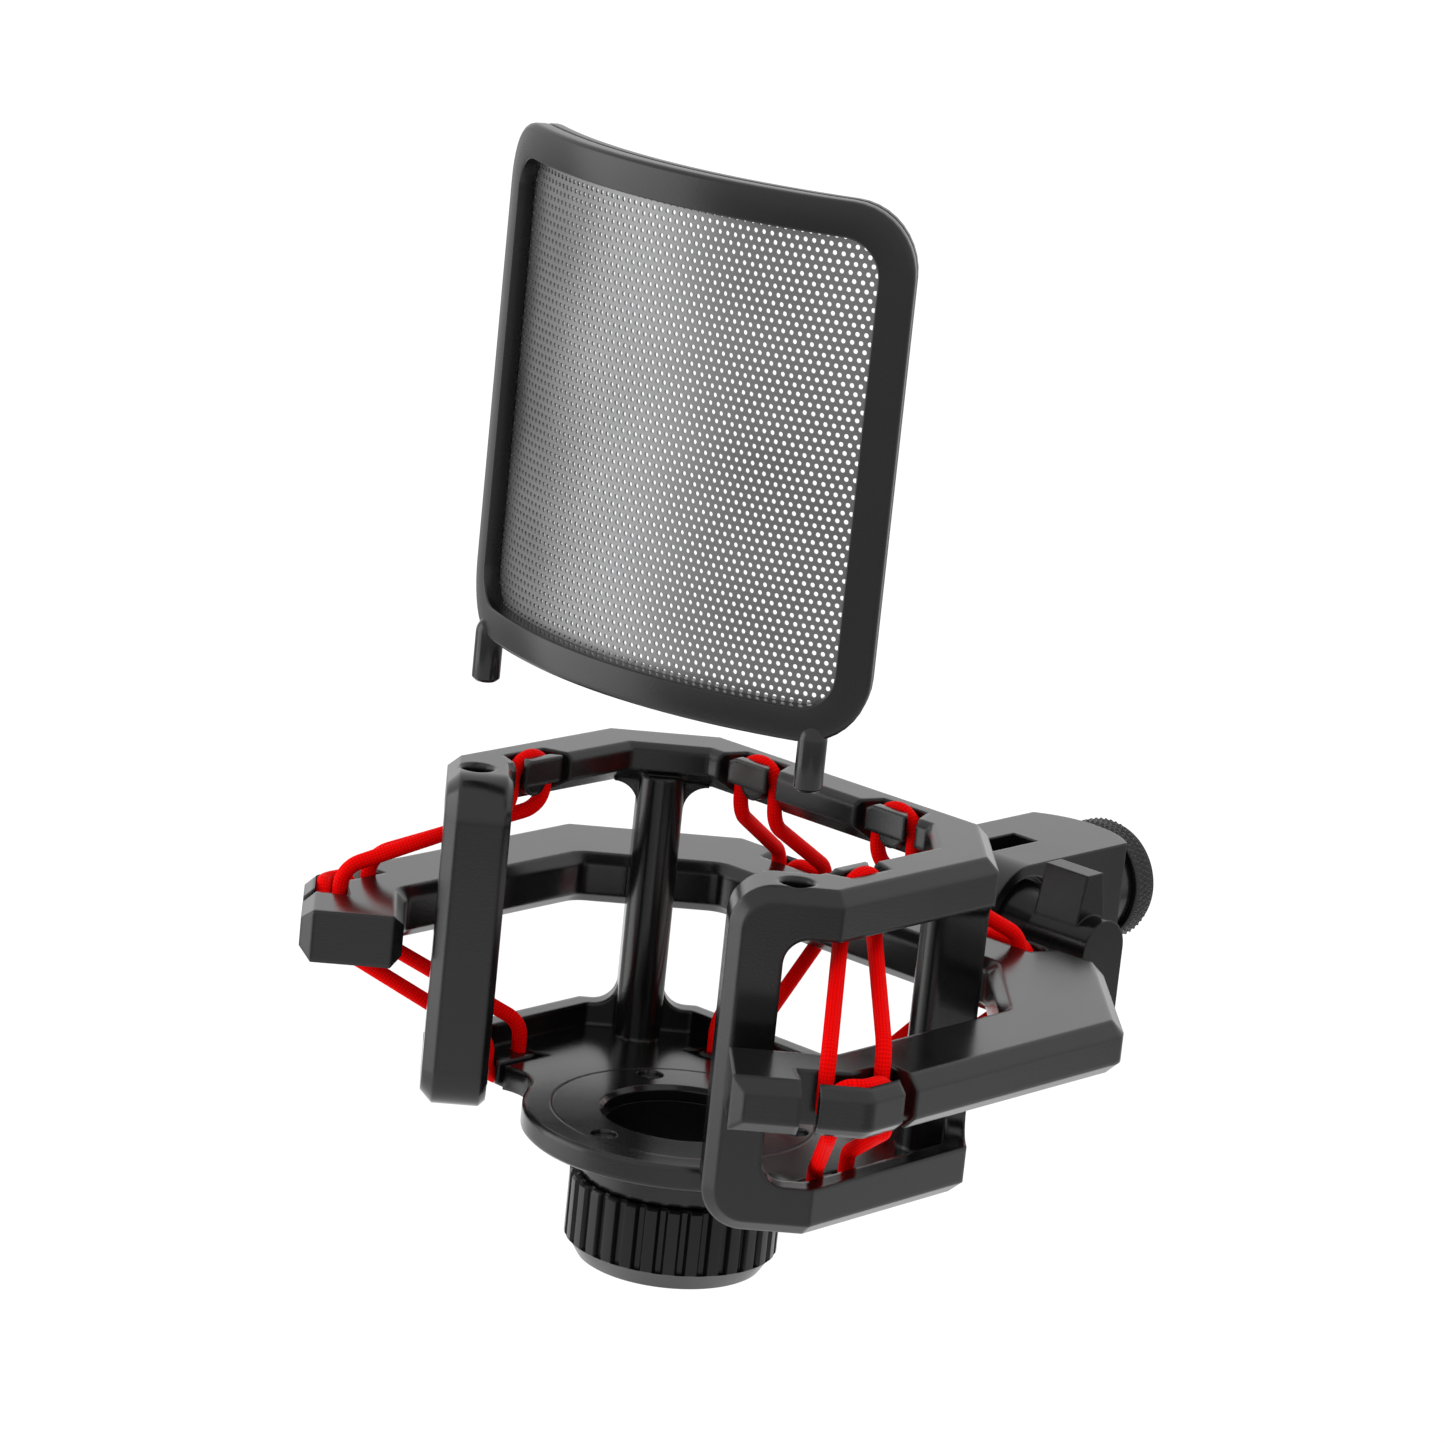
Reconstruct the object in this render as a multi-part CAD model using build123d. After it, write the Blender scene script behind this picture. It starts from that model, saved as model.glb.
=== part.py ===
from build123d import *
from math import asin, cos, degrees, hypot, pi, radians, sin, sqrt
import os

# Microphone shock mount with a plug-in curved pop filter, in millimetres.
# +Z is the microphone's axis, -Y the open side that faces the talker, +Y the stand.
# The origin is the centre of the microphone seat's bore.

ROOT2 = sqrt(2.0)

# ---- cradle: an open-fronted cage of two C rings, two front uprights and two rear posts
TOP_Z = 55.6
BOTTOM_Z = -2.2
MID_Z = (TOP_Z + BOTTOM_Z) / 2.0
RING_H = 8.0
LOWER_RING_H = 8.3
SKIRT_FRACTION = 0.31
CRADLE = {"side": (44.6, 34.0), "front": (62.4, 46.8), "rear_sum": (65.0, 50.0), "rear": (35.0, 25.3)}
CRADLE_FRONT_LENGTH = 17.7
WINDOW_FRONT = 8.7
CORNER_R = 7.0
OUTER_BEVEL = 2.1
INNER_BEVEL = 1.1
UNDERCUT_FRACTION = 0.53
UNDERCUT_H = 3.4
POST_HALF = 4.0
WEB_R = 4.2
PIN_X = 35.93
PIN_Y = -19.6
PIN_HOLE_R = 2.6
PIN_HOLE_DEPTH = 7.25

# ---- base plate, seat ring, collar and lock nut under the microphone
PLATE_TOP = 2.05
DISC_R = 27.0
SEAT_R = 22.0
SEAT_BORE_R = 13.4
SEAT_BOTTOM = -0.35
SCREW_CIRCLE_R = 19.3
SCREW_R = 2.1
SCREW_SUNK = 0.85
SCALLOP_X = 30.2
SCALLOP_Y = -16.4
SCALLOP_R = 7.6
COLLAR_R = 16.5
COLLAR_BOTTOM = -8.7
NUT_NECK_R = 15.5
NUT_FLANGE_R = 16.9
NUT_R = 18.0
NUT_TOP = -9.0
NUT_BOTTOM = -23.5
NUT_CONE_H = 3.7
NUT_BORE_R = 13.0
NUT_RIBS = 30
RUNNING = 0.08
CLEAR = 0.3

# ---- outer frame that carries the cradle on elastic bands
FRAME_H = 9.0
FRAME = {"side": (64.2, 47.8), "front": (93.8, 69.5), "rear_sum": (97.5, 69.0), "rear": (56.4, 38.2)}
FRAME_FRONT_LENGTH = 21.8
FRAME_INNER_BEVEL = 1.8
FRAME_BEND_R = 3.0

# ---- tabs that hook the bands
TAB_SIDE_Y = -5.4
TAB_REAR_X = 15.6
SLOT_DEPTH = 5.1
SLOT_MOUTH = 6.7
SLOT_BACK = 4.8
HEAD_T = 1.9
HEAD_HALF = 4.3
HEAD_BACK_HALF = 3.1
HEAD_H = 4.5
NECK_HALF = 2.5
NECK_TOP = 1.85
NECK_H = 5.05
LOWER_NECK_H = 2.6
OUT_TAB_REAR_X = 22.2
OUT_SLOT_DEPTH = 7.4
OUT_MOUTH = 10.9
OUT_BACK = 8.6
OUT_HEAD_T = 1.8
OUT_HEAD_HALF = 8.0
OUT_NECK_HALF = 4.0
OUT_NECK_H = 4.6
BEND_SHIFT = 1.0

# ---- bands
CORD_R = 1.3
CRADLE_STRAND = 3.9
FRAME_STRAND = 5.45
INNER_LANE = 5.97
OUTER_LANE = 3.2
CREST = 0.45
UPPER_TURNS = {"bend": 1.6, "flat": 2.3}
LOWER_TURNS = {"bend": (0.6, -1.1), "flat": (-0.3, -1.1)}
UPPER_ENTRIES = {"bend": 3.2, "flat": 1.5}
LOWER_ENTRY = 0.3

# ---- pop filter, drawn lifted clear of the mount
FILTER_BOTTOM = 78.4
FILTER_TOP = 164.3
FILTER_R = 77.0
FILTER_FRONT_Y = -29.95
FILTER_HALF = 46.9
FILTER_CORNER = 11.0
BEZEL_T = 2.8
MESH_T = 0.4
BACK_T = 2.0
BORDER_X = 5.8
BORDER_TOP = 5.7
BORDER_BOTTOM = 5.5
WINDOW_CORNER = 6.0
PIN_R = 2.35
PIN_BOTTOM = 70.66
PIN_TOP = 81.6

# ---- swivel
PIVOT_Y = 72.6
BLOCK_HALF = 10.85
BLOCK_HALF_H = 10.8
BLOCK_REAR = 103.5
BLOCK_REAR_R = 16.7
SLOT_HALF = 2.8
SLOT_X = -1.0
SLOT_REAR = 85.4
TONGUE_HALF = 2.5
TONGUE_R = 8.5
PIVOT_R = 3.0
WASHER_R = 7.5
WASHER_T = 1.0
BOSS_R = 9.6
BOSS_END = 109.1
RING_R = 11.0
RING_START = 104.4
RING_END = 108.9
STAND_R = 7.45
LEVER_OUT = 28.5
BOLT_END = 17.2


def save(shape, name):
    """Write one node as a STEP file."""
    shape.label = name
    export_step(shape, f"parts/{name}.step")


def lines(walls, fraction):
    """The wall lines of a C outline at a depth fraction, 0 outside and 1 inside."""
    return {key: a + (b - a) * fraction for key, (a, b) in walls.items()}


def front_sum(walls, length):
    """X + Y of the end plane, a given length past the outer front bend."""
    side = walls["side"][0]
    return 2.0 * side - walls["front"][0] - length * ROOT2


def right_side(walls, fraction, end_sum):
    """Corner points of the right half of a C outline, from the front end to the rear."""
    at = lines(walls, fraction)
    end = ((end_sum + at["front"]) / 2.0, (end_sum - at["front"]) / 2.0)
    bend = (at["side"], at["side"] - at["front"])
    first = (at["side"], at["rear_sum"] - at["side"])
    second = (at["rear_sum"] - at["rear"], at["rear"])
    return [end, bend, first, second]


def mirrored(points):
    """The same points on the left, in reverse order."""
    return [(-x, y) for x, y in reversed(points)]


def face_at(points, z):
    """A polygon face on a level plane."""
    return Face(Wire.make_polygon([Vector(x, y, z) for x, y in points], close=True))


def prism(points, z0, z1):
    """A straight prism on a plan polygon."""
    return Solid.extrude(face_at(points, z0), Vector(0, 0, z1 - z0))


def c_strip(walls, outer, inner, end_sum, z0, z1):
    """A C-shaped strip between two depth fractions."""
    out = right_side(walls, outer, end_sum)
    ins = right_side(walls, inner, end_sum)
    return prism(out + mirrored(out) + ins_reversed(ins), z0, z1)


def ins_reversed(ins):
    """The inner outline walked back from the left end to the right end."""
    return [(-x, y) for x, y in ins] + list(reversed(ins))


def interior(walls, fraction, end_sum, z):
    """The face enclosed by a C outline, closed straight across the front."""
    side = right_side(walls, fraction, end_sum)
    return face_at(side + mirrored(side), z)


def frustum(face_a, face_b):
    """A ruled solid between two faces with matching corners."""
    return Solid.make_loft([face_a.outer_wire(), face_b.outer_wire()], ruled=True)


def on_wall(point, walls, fraction, tol=0.02):
    """True when a point lies on one of the wall lines at a depth fraction."""
    at = lines(walls, fraction)
    x = abs(point.X)
    y = point.Y
    hits = (
        abs(x - at["side"]) < tol and at["side"] - at["front"] - tol < y < at["rear_sum"] - at["side"] + tol,
        abs(x - y - at["front"]) < tol * 1.5 and y < at["side"] - at["front"] + tol,
        abs(x + y - at["rear_sum"]) < tol * 1.5 and at["rear_sum"] - at["side"] - tol < y < at["rear"] + tol,
        abs(y - at["rear"]) < tol,
    )
    return any(hits)


def rim_edges(shape, walls, fraction, z_top, z_bottom, tol=0.02):
    """Edges that bound one wall surface: its top and bottom rims and its free ends."""
    chosen = []
    for edge in shape.edges():
        ends = [edge @ 0.0, edge @ 0.5, edge @ 1.0]
        if not all(on_wall(p, walls, fraction, tol) for p in ends):
            continue
        vertical = hypot(ends[0].X - ends[2].X, ends[0].Y - ends[2].Y) < 0.01
        at_rim = all(abs(p.Z - z_top) < 0.01 for p in ends) or all(abs(p.Z - z_bottom) < 0.01 for p in ends)
        free_end = ends[1].Y < lines(walls, fraction)["side"] - lines(walls, fraction)["front"] - 5.0
        if at_rim or (free_end and (vertical or edge.geom_type == GeomType.CIRCLE)):
            chosen.append(edge)
    return chosen


def basis(origin, along, outward, up=(0, 0, 1)):
    """Map local (along, outward, up) millimetres to model space."""
    o = Vector(*origin)
    a = Vector(*along)
    n = Vector(*outward)
    u = Vector(*up)
    return lambda s, d, z: o + a * s + n * d + u * z


def local_prism(place, points, z0, z1):
    """A prism on a polygon given in local (along, outward) coordinates."""
    base = [place(s, d, z0) for s, d in points]
    face = Face(Wire.make_polygon(base, close=True))
    return Solid.extrude(face, place(0, 0, z1) - place(0, 0, z0))


def profile_prism(place, points, d0, d1):
    """A prism on a polygon given in local (along, up) coordinates, run outward."""
    base = [place(s, d0, z) for s, z in points]
    face = Face(Wire.make_polygon(base, close=True))
    return Solid.extrude(face, place(0, d1, 0) - place(0, d0, 0))


def rounded_bar(place, half, z0, z1, d0, d1, radius):
    """A bar running outward whose cross-section is a rounded rectangle."""
    mid = (z0 + z1) / 2.0
    plane = Plane(origin=place(0, d0, mid), x_dir=place(1, 0, 0) - place(0, 0, 0), z_dir=place(0, 1, 0) - place(0, 0, 0))
    sketch = plane * RectangleRounded(2.0 * half, z1 - z0, radius)
    return extrude(sketch, d1 - d0)


def web(place, radius, d0, d1):
    """A concave fillet prism in the corner between the along and up directions."""
    steps = 10
    curve = []
    for i in range(steps + 1):
        angle = pi / 2.0 * i / steps
        curve.append((radius - radius * sin(angle), radius - radius * cos(angle)))
    return profile_prism(place, [(-0.3, -0.3), (radius, -0.3)] + curve + [(-0.3, radius)], d0, d1)


# ---------------------------------------------------------------- band tabs

def cradle_tab_places():
    """Local frames of the four cradle tabs: along the bar, outward from its inner face."""
    side = CRADLE["side"][1]
    rear = CRADLE["rear"][1]
    places = []
    for sx in (-1.0, 1.0):
        places.append(((sx * side, TAB_SIDE_Y, 0), (0, 1, 0), (sx, 0, 0)))
        places.append(((sx * TAB_REAR_X, rear, 0), (1, 0, 0), (0, 1, 0)))
    return places


def cut_cradle_tab(body, place_args, level, direction, reach, neck_h):
    """Cut one band slot into a ring and put back its neck and hooked head."""
    origin, along, outward = place_args
    place = basis((origin[0], origin[1], level), along, outward, (0, 0, direction))
    mouth = SLOT_MOUTH + 0.4 * reach
    slot = [(-mouth, -reach), (mouth, -reach), (SLOT_BACK, SLOT_DEPTH), (-SLOT_BACK, SLOT_DEPTH)]
    body = body - local_prism(place, slot, -12.0, 1.0)
    head = [
        (-HEAD_HALF, 0.0), (HEAD_HALF, 0.0), (HEAD_HALF, 0.6),
        (HEAD_BACK_HALF, HEAD_T), (-HEAD_BACK_HALF, HEAD_T), (-HEAD_HALF, 0.6),
    ]
    solid_head = local_prism(place, head, -HEAD_H, 0.0)
    trim = profile_prism(place, [(-HEAD_HALF - 1, 0.1), (-HEAD_HALF - 1, -1.3), (-HEAD_HALF + 1.5, 0.1)], -1.0, 3.0)
    solid_head = solid_head - trim
    whole_neck = rounded_bar(
        place, NECK_HALF, -NECK_TOP - NECK_H, -NECK_TOP, HEAD_T - 0.2, SLOT_DEPTH + 0.3, NECK_HALF - 0.02
    )
    kept = [(-6.0, -NECK_TOP - neck_h), (6.0, -NECK_TOP - neck_h), (6.0, 0.0), (-6.0, 0.0)]
    neck = whole_neck & profile_prism(place, kept, 0.0, SLOT_DEPTH + 1.0)
    return body + solid_head + neck


def frame_tab_specs():
    """The four outer tabs: two wrap the front bends, two sit on the rear bar."""
    specs = []
    side, front = FRAME["side"][0], FRAME["front"][0]
    for sx in (-1.0, 1.0):
        specs.append(("bend", sx, (side, side - front)))
        specs.append(("flat", sx, (OUT_TAB_REAR_X, FRAME["rear"][0])))
    return specs


def bend_point(sx, depth, along):
    """A plan point near a front bend: depth from the wall, along it (rear is positive)."""
    side, front = FRAME["side"][0], FRAME["front"][0]
    x = side - depth
    y = x - (front - depth * ROOT2)
    if along >= 0.0:
        return (sx * x, y + along)
    return (sx * (x + along / ROOT2), y + along / ROOT2)


def flat_point(sx, depth, along):
    """A plan point near a rear tab."""
    return (sx * (OUT_TAB_REAR_X + along), FRAME["rear"][0] - depth)


def tab_point(kind, sx, depth, along):
    """Dispatch to the bend or the flat tab."""
    return bend_point(sx, depth, along) if kind == "bend" else flat_point(sx, depth, along)


def tab_band(kind, sx, d0, d1, half0, half1, z0, z1, shift=0.0):
    """A prism that follows the wall between two depths."""
    near = [tab_point(kind, sx, d0, a) for a in (shift - half0, 0.0, shift + half0)]
    far = [tab_point(kind, sx, d1, a) for a in (shift + half1, 0.0, shift - half1)]
    return prism(near + far, z0, z1)


def cut_frame_tab(body, kind, sx):
    """Cut one band slot into the outer frame and put back its neck and head."""
    low, high = MID_Z - FRAME_H, MID_Z + FRAME_H
    whole = tab_band(kind, sx, 0.0, OUT_HEAD_T, OUT_HEAD_HALF, OUT_HEAD_HALF - 0.5, low, high)
    head = body & whole
    slot = tab_band(kind, sx, -3.0, OUT_SLOT_DEPTH, OUT_MOUTH + 0.9, OUT_BACK, low, high)
    body = body - slot
    neck_low, neck_high = MID_Z - OUT_NECK_H / 2.0, MID_Z + OUT_NECK_H / 2.0
    shift = BEND_SHIFT if kind == "bend" else 0.0
    neck = tab_band(
        kind, sx, OUT_HEAD_T - 0.3, OUT_SLOT_DEPTH + 0.4, OUT_NECK_HALF, OUT_NECK_HALF, neck_low, neck_high, shift
    )
    mid_depth = OUT_SLOT_DEPTH / 2.0 + 1.0
    ends = (shift - OUT_NECK_HALF, shift + OUT_NECK_HALF)
    tips = [Vector(*tab_point(kind, sx, mid_depth, a), MID_Z) for a in ends]
    end_edges = []
    for edge in neck.edges():
        centre = edge @ 0.5
        level = abs((edge @ 0.0).Z - (edge @ 1.0).Z) < 0.01
        near_tip = min(hypot(centre.X - t.X, centre.Y - t.Y) for t in tips) < 0.6
        if level and near_tip:
            end_edges.append(edge)
    neck = neck.fillet(OUT_NECK_H / 2.0 - 0.15, end_edges)
    return body + head + neck


# ---------------------------------------------------------------- cradle

def build_cradle():
    """The cage, its base plate and the pockets for the seat ring and the lock nut."""
    end = front_sum(CRADLE, CRADLE_FRONT_LENGTH)
    window_end = front_sum(CRADLE, WINDOW_FRONT)
    body = c_strip(CRADLE, 0.0, 1.0, end, BOTTOM_Z, TOP_Z)
    corner = []
    for edge in body.edges():
        p = edge @ 0.5
        if abs(abs(p.X) + p.Y - end) < 0.05 and abs((edge @ 0.0).Z - (edge @ 1.0).Z) < 0.01:
            corner.append(edge)
    body = body.fillet(CORNER_R, corner)
    body = body.chamfer(OUTER_BEVEL, None, rim_edges(body, CRADLE, 0.0, TOP_Z, BOTTOM_Z))
    body = body.chamfer(INNER_BEVEL, None, rim_edges(body, CRADLE, 1.0, TOP_Z, BOTTOM_Z))

    # the windows, with the upper ring undercut towards the inside
    low, high = BOTTOM_Z + LOWER_RING_H, TOP_Z - RING_H
    void = c_strip(CRADLE, -0.2, 1.3, window_end, low, high)
    wide = interior(CRADLE, UNDERCUT_FRACTION, window_end, high)
    narrow = interior(CRADLE, 1.0, window_end, high + UNDERCUT_H)
    body = body - void - frustum(wide, narrow)

    # base plate: a round disc in front, filled out to the ring behind, scalloped between
    plate_front = -14.0
    inner = right_side(CRADLE, 0.97, end)
    side_x = lines(CRADLE, 0.97)["side"]
    rear_part = [(side_x, plate_front)] + inner[2:]
    plate = prism(rear_part + mirrored(rear_part), BOTTOM_Z, PLATE_TOP)
    plate = plate + Solid.make_cylinder(DISC_R, PLATE_TOP - BOTTOM_Z, Plane(origin=(0, 0, BOTTOM_Z)))
    rim = [e for e in plate.edges() if e.geom_type == GeomType.CIRCLE and (e @ 0.5).Y < -10.0]
    plate = plate.chamfer(0.5, None, rim)
    for sx in (-1.0, 1.0):
        scallop = Plane(origin=(sx * SCALLOP_X, SCALLOP_Y, BOTTOM_Z - 1.0))
        plate = plate - Solid.make_cylinder(SCALLOP_R, 8.0, scallop)
    body = body + plate

    # the lower ring is a thin skirt that stands on the rim of the plate
    body = body - c_strip(CRADLE, SKIRT_FRACTION, 1.0, window_end, PLATE_TOP, low + 1.0)

    # rear posts: flat-sided outside, half round inside, with fillet webs at both rings
    mid_sum, mid_diff = CRADLE["rear_sum"][0], CRADLE["side"][0] * 2.0 - CRADLE["rear_sum"][0]
    mid_x = (mid_sum + (mid_diff + mid_sum - 2.0 * CRADLE["rear"][0]) / 2.0) / 2.0
    mid_y = mid_sum - mid_x
    depth = (CRADLE["rear_sum"][0] - CRADLE["rear_sum"][1]) / ROOT2
    for sx in (-1.0, 1.0):
        inward = (-sx / ROOT2, -1.0 / ROOT2, 0)
        along = (sx / ROOT2, -1.0 / ROOT2, 0)
        place = basis((sx * mid_x, mid_y, 0), along, inward)
        straight = depth - POST_HALF
        z0, z1 = PLATE_TOP - 0.5, high + 2.0
        corners = [(-POST_HALF, 0.0), (POST_HALF, 0.0), (POST_HALF, straight), (-POST_HALF, straight)]
        post = local_prism(place, corners, z0, z1)
        centre = place(0, straight, z0)
        post = post + Solid.make_cylinder(POST_HALF, z1 - z0, Plane(origin=centre, z_dir=(0, 0, 1)))
        body = body + post
        for side_sign in (-1.0, 1.0):
            away = tuple(side_sign * c for c in along)
            for level, up, web_depth in ((low, 1.0, depth * SKIRT_FRACTION), (high, -1.0, straight)):
                edge_point = place(side_sign * POST_HALF, 0.0, level)
                corner_place = basis(tuple(edge_point), away, inward, (0, 0, up))
                body = body + web(corner_place, WEB_R, 0.0, web_depth)

    # fillet webs where the front uprights meet the rings
    outer_sum = window_end
    for sx in (-1.0, 1.0):
        x0 = (outer_sum + CRADLE["front"][0]) / 2.0
        y0 = (outer_sum - CRADLE["front"][0]) / 2.0
        inward = (-sx / ROOT2, 1.0 / ROOT2, 0)
        away = (sx / ROOT2, 1.0 / ROOT2, 0)
        thickness = (CRADLE["front"][0] - CRADLE["front"][1]) / ROOT2
        for level, up, fraction in ((low, 1.0, SKIRT_FRACTION), (high, -1.0, UNDERCUT_FRACTION)):
            corner_place = basis((sx * x0, y0, level), away, inward, (0, 0, up))
            body = body + web(corner_place, WEB_R, 0.0, thickness * fraction)

    for place_args in cradle_tab_places():
        body = cut_cradle_tab(body, place_args, TOP_Z, 1.0, 4.0, NECK_H)
        body = cut_cradle_tab(body, place_args, BOTTOM_Z, -1.0, 1.0, LOWER_NECK_H)

    # collar under the plate and the pockets for the seat ring and the nut's flange
    body = body + Solid.make_cylinder(COLLAR_R, BOTTOM_Z - COLLAR_BOTTOM + 0.5, Plane(origin=(0, 0, COLLAR_BOTTOM)))
    body = body - Solid.make_cylinder(SEAT_R + 0.02, 4.0, Plane(origin=(0, 0, SEAT_BOTTOM)))
    body = body - Solid.make_cylinder(NUT_FLANGE_R + 0.2, 2.0, Plane(origin=(0, 0, SEAT_BOTTOM - 1.1)))
    body = body - Solid.make_cylinder(NUT_NECK_R + RUNNING, 14.0, Plane(origin=(0, 0, COLLAR_BOTTOM - 1.0)))

    # sockets for the filter's pins, countersunk
    for sx in (-1.0, 1.0):
        socket = Plane(origin=(sx * PIN_X, PIN_Y, TOP_Z - PIN_HOLE_DEPTH))
        body = body - Solid.make_cylinder(PIN_HOLE_R, PIN_HOLE_DEPTH + 1.0, socket)
        sink = Plane(origin=(sx * PIN_X, PIN_Y, TOP_Z - 0.5))
        body = body - Solid.make_cone(PIN_HOLE_R, PIN_HOLE_R + 0.5, 0.55, sink)
    return body


def build_seat():
    """The screwed-on seat ring and its three countersunk screws."""
    height = PLATE_TOP - SEAT_BOTTOM
    ring = Solid.make_cylinder(SEAT_R, height, Plane(origin=(0, 0, SEAT_BOTTOM)))
    ring = ring - Solid.make_cylinder(SEAT_BORE_R, height + 2.0, Plane(origin=(0, 0, SEAT_BOTTOM - 1.0)))
    ring = ring - Solid.make_cone(SEAT_BORE_R, SEAT_BORE_R + 0.75, 0.75, Plane(origin=(0, 0, PLATE_TOP - 0.74)))
    screws = []
    for degrees_at in (30.0, 150.0, 270.0):
        x = SCREW_CIRCLE_R * cos(radians(degrees_at))
        y = SCREW_CIRCLE_R * sin(radians(degrees_at))
        head_top = PLATE_TOP - SCREW_SUNK
        head = Solid.make_cone(0.9, SCREW_R - 0.05, 1.0, Plane(origin=(x, y, head_top - 1.0)))
        shank = Solid.make_cylinder(0.9, head_top - 1.0 - SEAT_BOTTOM, Plane(origin=(x, y, SEAT_BOTTOM)))
        well = Solid.make_cone(SCREW_R - 0.05, SCREW_R + 0.15, SCREW_SUNK, Plane(origin=(x, y, head_top)))
        blank = head + shank
        ring = ring - blank - well
        drive = Pos(x, y, head_top) * Box(2.3, 0.55, 1.3) + Pos(x, y, head_top) * Box(0.55, 2.3, 1.3)
        screws.append(blank - drive)
    return ring, screws


def build_lock_nut():
    """The captive ribbed nut that screws onto the microphone's tail."""
    top_flange = SEAT_BOTTOM - 0.1
    flange = Solid.make_cylinder(NUT_FLANGE_R, 0.8, Plane(origin=(0, 0, top_flange - 0.8)))
    neck = Solid.make_cylinder(NUT_NECK_R, top_flange - NUT_TOP, Plane(origin=(0, 0, NUT_TOP)))
    cone_top = NUT_BOTTOM + NUT_CONE_H
    body = Solid.make_cylinder(NUT_R, NUT_TOP - cone_top, Plane(origin=(0, 0, cone_top)))
    cone = Solid.make_cone(NUT_R - 2.6, NUT_R - 0.2, NUT_CONE_H, Plane(origin=(0, 0, NUT_BOTTOM)))
    nut = body + cone + neck + flange
    groove_h = NUT_TOP - cone_top - 0.6
    for i in range(NUT_RIBS):
        angle = 360.0 * i / NUT_RIBS
        groove = Pos(NUT_R, 0, NUT_TOP - groove_h / 2.0) * Box(0.9, 1.0, groove_h + 0.02)
        nut = nut - Rot(0, 0, angle) * groove
    return nut - Solid.make_cylinder(NUT_BORE_R, 40.0, Plane(origin=(0, 0, NUT_BOTTOM - 1.0)))


# ---------------------------------------------------------------- outer frame

def build_frame():
    """The flat C frame with four band tabs and the hinge tongue."""
    end = front_sum(FRAME, FRAME_FRONT_LENGTH)
    low, high = MID_Z - FRAME_H / 2.0, MID_Z + FRAME_H / 2.0
    body = c_strip(FRAME, 0.0, 1.0, end, low, high)
    bends = []
    for edge in body.edges():
        middle = edge @ 0.5
        if abs((edge @ 0.0).Z - (edge @ 1.0).Z) > 1.0 and abs(abs(middle.X) + middle.Y - end) > 1.0:
            bends.append(edge)
    body = body.fillet(FRAME_BEND_R, bends)
    body = body.chamfer(OUTER_BEVEL, None, rim_edges(body, FRAME, 0.0, high, low, 0.35))
    body = body.chamfer(FRAME_INNER_BEVEL, None, rim_edges(body, FRAME, 1.0, high, low, 0.35))
    for kind, sx, _ in frame_tab_specs():
        body = cut_frame_tab(body, kind, sx)
    tongue = Solid.make_cylinder(TONGUE_R, 2.0 * TONGUE_HALF, x_plane(SLOT_X - TONGUE_HALF))
    start = FRAME["rear"][0] - 1.5
    arm = Pos(SLOT_X, (start + PIVOT_Y) / 2.0, MID_Z) * Box(2.0 * TONGUE_HALF, PIVOT_Y - start, FRAME_H - 1.0)
    root = Pos(0, start + 1.6, MID_Z) * Box(14.0, 3.2, FRAME_H - 3.4)
    body = body + tongue + arm + root
    return body - Solid.make_cylinder(PIVOT_R + RUNNING, 20.0, x_plane(-10.0))


# ---------------------------------------------------------------- elastic bands

def cord(points, radii):
    """A closed round cord along straight runs joined by tangent arcs."""
    count = len(points)
    cuts = []
    for i in range(count):
        here = points[i]
        back = (points[i - 1] - here).normalized()
        ahead = (points[(i + 1) % count] - here).normalized()
        turn = pi - radians(back.get_angle(ahead))
        reach = radii[i] * sin(turn / 2.0) / cos(turn / 2.0)
        cuts.append((here + back * reach, here + ahead * reach, turn, back, ahead))
    body = None
    length = 0.0
    for i in range(count):
        enter, leave, turn, back, ahead = cuts[i]
        normal = back.cross(ahead).normalized()
        middle = (back + ahead).normalized()
        centre = points[i] + middle * (radii[i] / cos(turn / 2.0))
        plane = Plane(origin=enter, x_dir=normal, z_dir=back * -1.0)
        disc = Face(Wire([Edge.make_circle(CORD_R, plane)]))
        arc = Solid.revolve(disc, degrees(turn), Axis(centre, normal * -1.0))
        if (arc.center() - (centre - middle * radii[i])).length > radii[i]:
            arc = Solid.revolve(disc, degrees(turn), Axis(centre, normal))
        run_end = cuts[(i + 1) % count][0]
        span = run_end - leave
        run = Solid.make_cylinder(CORD_R, span.length, Plane(origin=leave, z_dir=span.normalized()))
        length += radii[i] * turn + span.length
        body = arc + run if body is None else body + arc + run
    return body, length


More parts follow.
